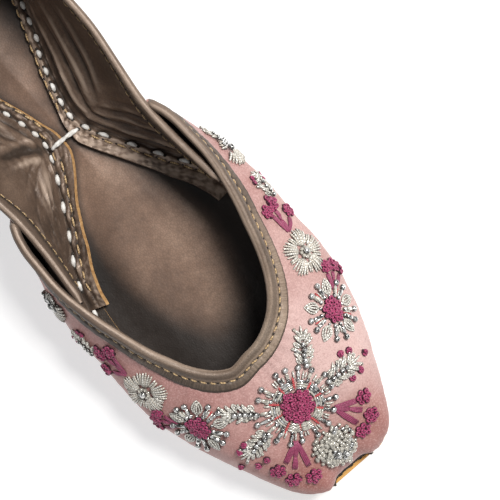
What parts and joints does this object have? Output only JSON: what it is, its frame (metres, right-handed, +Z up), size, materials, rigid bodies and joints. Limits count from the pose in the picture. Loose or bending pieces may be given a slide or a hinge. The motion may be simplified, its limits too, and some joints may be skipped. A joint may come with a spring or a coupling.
{
  "type": "mojari shoe",
  "caption": "Flat slip-on mojari shoe with a square toe, satin vamp with bead and thread embroidery, bronze leather lining and a thin tan leather sole.",
  "frame": {"origin": "middle of the shoe's footprint, on the floor that it stands on", "axes": "+Z up, -Y towards the toe, +Y towards the heel, X across the shoe, which is the same on both sides"},
  "size_m": [0.09, 0.252, 0.0575],
  "materials": {
    "sole_leather": "natural tan leather, matte",
    "bronze_leather": "bronze metallic leather, soft sheen",
    "pink_satin": "dusty pink silk satin",
    "white_thread": "thick white cotton thread",
    "gold_thread": "tan machine thread",
    "magenta_thread": "magenta embroidery cotton",
    "silver_bead": "silver-lined glass beads and metal thread"
  },
  "bodies": {
    "root": {"outsole": "sole_leather", "insole": "bronze_leather", "upper": "pink_satin", "throat_piping": "bronze_leather", "topline_piping": "bronze_leather"}
  },
  "joints": []
}
